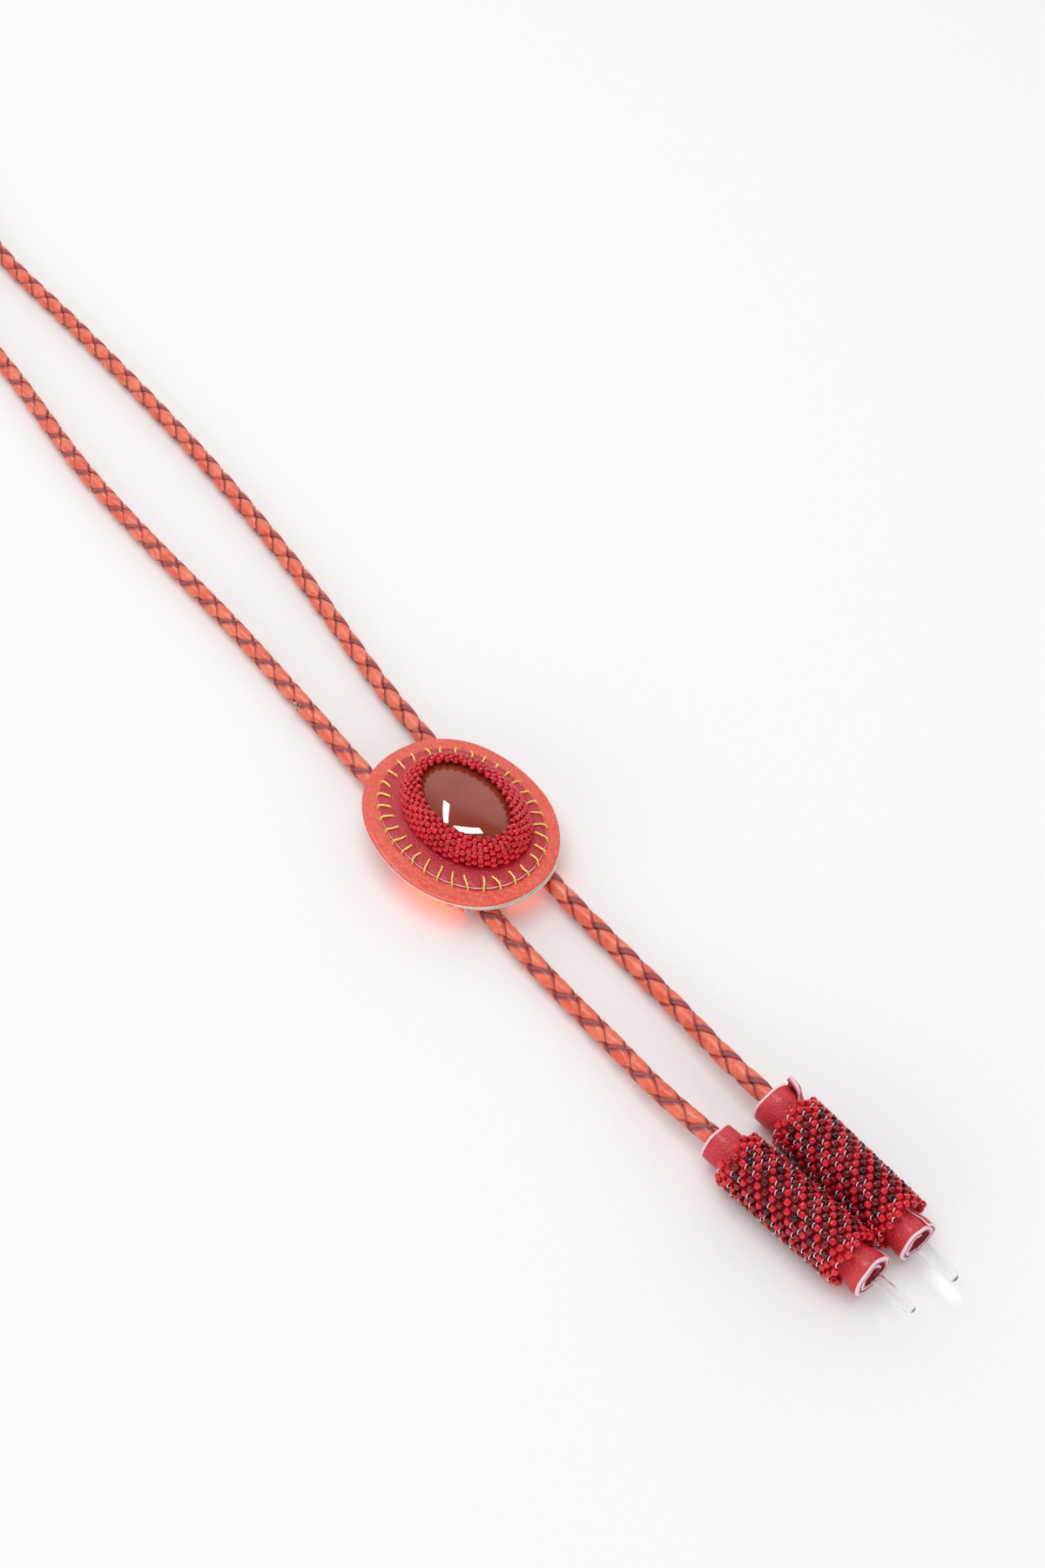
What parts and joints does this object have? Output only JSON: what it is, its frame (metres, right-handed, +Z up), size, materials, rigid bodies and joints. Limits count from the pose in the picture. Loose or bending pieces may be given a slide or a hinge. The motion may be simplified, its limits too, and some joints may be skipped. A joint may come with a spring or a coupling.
{
  "type": "bolo tie",
  "caption": "Bolo tie of braided leather cord with an oval leather slide that carries a beaded cabochon, and beaded leather tips with glass rods.",
  "frame": {"origin": "middle of the flat underside of the keeper strap behind the slide, which lies on the table", "axes": "+Y along the tie from the tips to the neck loop, +Z up from the table through the face of the slide, +X to the right tip's side"},
  "size_m": [0.0432, 0.4729, 0.0134],
  "materials": {
    "cord_leather": "four-strand round braid, coral dye with dark edges",
    "coral_leather": "pebbled grain, coral dye, pale cut edge",
    "crimson_leather": "fine grain, crimson dye, pink cut edge",
    "seed_beads": "opaque and translucent red glass, glossy",
    "polished_stone": "high polish",
    "clear_glass": "clear, fire-polished end"
  },
  "bodies": {
    "root": {"cord": "cord_leather", "keeper": "coral_leather", "slide_back_leather": "coral_leather", "slide_top_leather": "coral_leather", "crimson_leather": "crimson_leather", "bead_bezel": "seed_beads", "cabochon": "polished_stone", "left_tip_roll": "crimson_leather", "left_tip_beads": "seed_beads", "left_tip_rod": "clear_glass", "right_tip_roll": "crimson_leather", "right_tip_beads": "seed_beads", "right_tip_rod": "clear_glass"}
  },
  "joints": []
}
